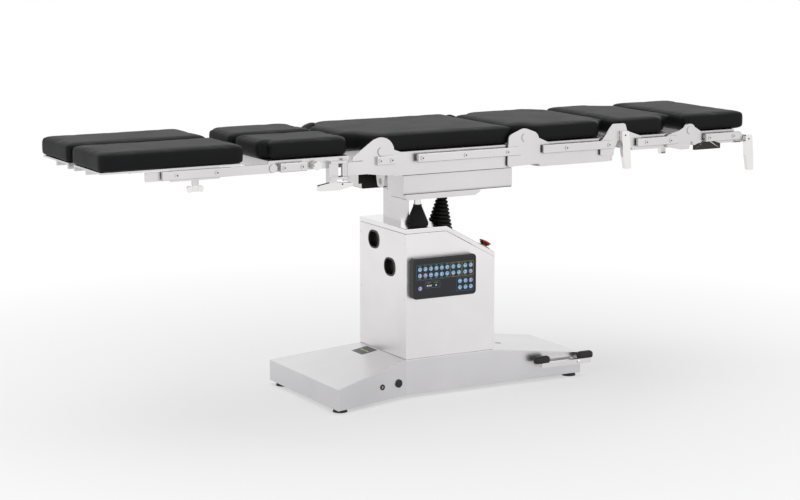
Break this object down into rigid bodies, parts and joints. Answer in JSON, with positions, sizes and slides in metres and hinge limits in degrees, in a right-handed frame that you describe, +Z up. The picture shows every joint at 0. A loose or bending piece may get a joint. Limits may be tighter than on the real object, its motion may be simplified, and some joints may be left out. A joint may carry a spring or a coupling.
{
  "type": "operating table",
  "caption": "Operating table with a lift column on a castored base, a two-way tilt head and a jointed top of back, head, seat and split leg sections with side rails.",
  "frame": {"origin": "on the floor, under the middle of the table's overall length and width", "axes": "+X along the table towards the head section, +Y towards the patient's right side, +Z up"},
  "size_m": [2.2088, 0.484, 0.808],
  "materials": {
    "painted_base": "satin",
    "bare_steel": "satin",
    "polished_steel": "gloss",
    "chassis_steel": "satin",
    "black_rubber": "matte",
    "black_plastic": "satin",
    "key_film": "satin",
    "stop_yellow": "satin",
    "stop_red": "gloss",
    "pad_cover": "satin"
  },
  "bodies": {
    "base": {"base_frame": "chassis_steel", "base_cover": "painted_base", "indicator_window": "black_plastic", "leveling_feet": "black_rubber", "side_sockets": "polished_steel", "column_guide": "bare_steel", "lower_skirt": "bare_steel"},
    "mid_skirt": {"mid_skirt": "bare_steel"},
    "castor_carriage": {"castor_frame": "chassis_steel"},
    "fixed_wheels": {"fixed_wheels": "black_rubber"},
    "pedal": {"pedal_bar": "polished_steel", "pedal_pads": "black_rubber"},
    "lift": {"column_cover": "bare_steel", "window_liners": "black_plastic", "column_lid": "bare_steel", "control_panel": "black_plastic", "panel_keys": "key_film", "estop_collar": "stop_yellow", "tilt_post": "chassis_steel", "tilt_struts": "polished_steel", "tilt_boots": "black_rubber", "tilt_bellows": "black_rubber"},
    "estop": {"estop_button": "stop_red"},
    "trend": {"cross_block": "chassis_steel"},
    "lateral": {"tilt_housing": "bare_steel"},
    "seat": {"seat_frame": "bare_steel", "seat_pad": "pad_cover"},
    "back": {"back_frame": "bare_steel", "back_pad": "pad_cover"},
    "upper_back": {"upper_frame": "bare_steel", "upper_pad": "pad_cover"},
    "head": {"head_frame": "bare_steel", "head_pad": "pad_cover"},
    "castor_fork_left": {"castor_fork_left": "chassis_steel"},
    "castor_wheel_left": {"castor_wheel_left": "black_rubber"},
    "back_lever_left": {"back_lever_left": "polished_steel"},
    "head_lever_left": {"head_lever_left": "polished_steel"},
    "hip_left": {"hip_arm_left": "bare_steel"},
    "leg_left": {"leg_frame_left": "bare_steel", "leg_pad_left": "pad_cover"},
    "leg_knob_left": {"leg_knob_left": "polished_steel"},
    "clamp_lever_left": {"clamp_lever_left": "polished_steel"},
    "foot_bar_left": {"foot_bar_left": "bare_steel"},
    "foot_section_left": {"foot_carriage_left": "bare_steel", "foot_pad_left": "pad_cover"},
    "wing_screw_left": {"wing_screw_left": "polished_steel"},
    "castor_fork_right": {"castor_fork_right": "chassis_steel"},
    "castor_wheel_right": {"castor_wheel_right": "black_rubber"},
    "back_lever_right": {"back_lever_right": "polished_steel"},
    "head_lever_right": {"head_lever_right": "polished_steel"},
    "hip_right": {"hip_arm_right": "bare_steel"},
    "leg_right": {"leg_frame_right": "bare_steel", "leg_pad_right": "pad_cover"},
    "leg_knob_right": {"leg_knob_right": "polished_steel"},
    "clamp_lever_right": {"clamp_lever_right": "polished_steel"},
    "foot_bar_right": {"foot_bar_right": "bare_steel"},
    "foot_section_right": {"foot_carriage_right": "bare_steel", "foot_pad_right": "pad_cover"},
    "wing_screw_right": {"wing_screw_right": "polished_steel"}
  },
  "joints": [
    {"name": "lift_column", "type": "slide", "parent": "base", "child": "lift", "axis": [0, 0, 1], "range_m": [0, 0.3]},
    {"name": "skirt_follow", "type": "slide", "parent": "base", "child": "mid_skirt", "axis": [0, 0, 1], "range_m": [0, 0.15]},
    {"name": "pedal_press", "type": "hinge", "parent": "base", "child": "pedal", "pos_m": [0.495, -0.17, 0.054], "axis": [0, -1, 0], "range_deg": [0, 10]},
    {"name": "castor_drop", "type": "slide", "parent": "base", "child": "castor_carriage", "axis": [0, 0, -1], "range_m": [0, 0.01]},
    {"name": "fixed_wheels_roll", "type": "hinge", "parent": "castor_carriage", "child": "fixed_wheels", "pos_m": [0.44, 0, 0.028], "axis": [0, 1, 0], "continuous": true},
    {"name": "estop_press", "type": "slide", "parent": "lift", "child": "estop", "axis": [-0.4806, 0, -0.8769], "range_m": [0, 0.005], "stiffness_N_per_m": 900},
    {"name": "trendelenburg", "type": "hinge", "parent": "lift", "child": "trend", "pos_m": [-0.058, 0, 0.64], "axis": [0, 1, 0], "range_deg": [-25, 25]},
    {"name": "lateral_tilt", "type": "hinge", "parent": "trend", "child": "lateral", "pos_m": [-0.058, 0, 0.64], "axis": [1, 0, 0], "range_deg": [-15, 15]},
    {"name": "seat_slide", "type": "slide", "parent": "lateral", "child": "seat", "axis": [1, 0, 0], "range_m": [0, 0.3]},
    {"name": "back_fold", "type": "hinge", "parent": "seat", "child": "back", "pos_m": [0.258, 0, 0.775], "axis": [0, -1, 0], "range_deg": [-40, 80]},
    {"name": "upper_back_fold", "type": "hinge", "parent": "back", "child": "upper_back", "pos_m": [0.612, 0, 0.763], "axis": [0, -1, 0], "range_deg": [-10, 30]},
    {"name": "head_fold", "type": "hinge", "parent": "upper_back", "child": "head", "pos_m": [0.868, 0, 0.763], "axis": [0, -1, 0], "range_deg": [-75, 30]},
    {"name": "castor_swivel_left", "type": "hinge", "parent": "castor_carriage", "child": "castor_fork_left", "pos_m": [-0.285, -0.14, 0.05], "axis": [0, 0, 1], "continuous": true},
    {"name": "castor_roll_left", "type": "hinge", "parent": "castor_fork_left", "child": "castor_wheel_left", "pos_m": [-0.269, -0.14, 0.028], "axis": [0, 1, 0], "continuous": true},
    {"name": "back_release_left", "type": "hinge", "parent": "back", "child": "back_lever_left", "pos_m": [0.612, -0.23, 0.763], "axis": [0, -1, 0], "range_deg": [0, 25], "stiffness_Nm_per_rad": 2},
    {"name": "head_release_left", "type": "hinge", "parent": "head", "child": "head_lever_left", "pos_m": [1.088, -0.23, 0.7245], "axis": [0, -1, 0], "range_deg": [0, 25], "stiffness_Nm_per_rad": 2},
    {"name": "hip_left", "type": "hinge", "parent": "seat", "child": "hip_left", "pos_m": [-0.231, -0.2235, 0.762], "axis": [0, 1, 0], "range_deg": [-45, 20]},
    {"name": "leg_spread_left", "type": "hinge", "parent": "hip_left", "child": "leg_left", "pos_m": [-0.352, -0.226, 0.719], "axis": [0, 0, 1], "range_deg": [0, 45]},
    {"name": "leg_knob_turn_left", "type": "hinge", "parent": "leg_left", "child": "leg_knob_left", "pos_m": [-0.443, -0.2265, 0.7365], "axis": [0, 1, 0], "continuous": true},
    {"name": "clamp_lever_turn_left", "type": "hinge", "parent": "leg_left", "child": "clamp_lever_left", "pos_m": [-0.389, -0.23, 0.674], "axis": [0, 1, 0], "range_deg": [0, 25]},
    {"name": "knee_left", "type": "hinge", "parent": "leg_left", "child": "foot_bar_left", "pos_m": [-0.575, -0.2185, 0.735], "axis": [0, -1, 0], "range_deg": [0, 90]},
    {"name": "foot_slide_left", "type": "slide", "parent": "foot_bar_left", "child": "foot_section_left", "axis": [-1, 0, 0], "range_m": [-0.05, 0.07]},
    {"name": "wing_screw_turn_left", "type": "hinge", "parent": "foot_section_left", "child": "wing_screw_left", "pos_m": [-0.8125, -0.2185, 0.7], "axis": [0, 0, 1], "continuous": true},
    {"name": "castor_swivel_right", "type": "hinge", "parent": "castor_carriage", "child": "castor_fork_right", "pos_m": [-0.285, 0.14, 0.05], "axis": [0, 0, 1], "continuous": true},
    {"name": "castor_roll_right", "type": "hinge", "parent": "castor_fork_right", "child": "castor_wheel_right", "pos_m": [-0.269, 0.14, 0.028], "axis": [0, 1, 0], "continuous": true},
    {"name": "back_release_right", "type": "hinge", "parent": "back", "child": "back_lever_right", "pos_m": [0.612, 0.23, 0.763], "axis": [0, -1, 0], "range_deg": [0, 25], "stiffness_Nm_per_rad": 2},
    {"name": "head_release_right", "type": "hinge", "parent": "head", "child": "head_lever_right", "pos_m": [1.088, 0.23, 0.7245], "axis": [0, -1, 0], "range_deg": [0, 25], "stiffness_Nm_per_rad": 2},
    {"name": "hip_right", "type": "hinge", "parent": "seat", "child": "hip_right", "pos_m": [-0.231, 0.2235, 0.762], "axis": [0, 1, 0], "range_deg": [-45, 20]},
    {"name": "leg_spread_right", "type": "hinge", "parent": "hip_right", "child": "leg_right", "pos_m": [-0.352, 0.226, 0.719], "axis": [0, 0, -1], "range_deg": [0, 45]},
    {"name": "leg_knob_turn_right", "type": "hinge", "parent": "leg_right", "child": "leg_knob_right", "pos_m": [-0.443, 0.2265, 0.7365], "axis": [0, 1, 0], "continuous": true},
    {"name": "clamp_lever_turn_right", "type": "hinge", "parent": "leg_right", "child": "clamp_lever_right", "pos_m": [-0.389, 0.23, 0.674], "axis": [0, 1, 0], "range_deg": [0, 25]},
    {"name": "knee_right", "type": "hinge", "parent": "leg_right", "child": "foot_bar_right", "pos_m": [-0.575, 0.2185, 0.735], "axis": [0, -1, 0], "range_deg": [0, 90]},
    {"name": "foot_slide_right", "type": "slide", "parent": "foot_bar_right", "child": "foot_section_right", "axis": [-1, 0, 0], "range_m": [-0.05, 0.07]},
    {"name": "wing_screw_turn_right", "type": "hinge", "parent": "foot_section_right", "child": "wing_screw_right", "pos_m": [-0.8125, 0.2185, 0.7], "axis": [0, 0, 1], "continuous": true}
  ],
  "couplings": [
    {"joint": "skirt_follow", "follows": "lift_column", "ratio": 0.5},
    {"joint": "castor_drop", "follows": "pedal_press", "m_per_rad": 0.057}
  ]
}
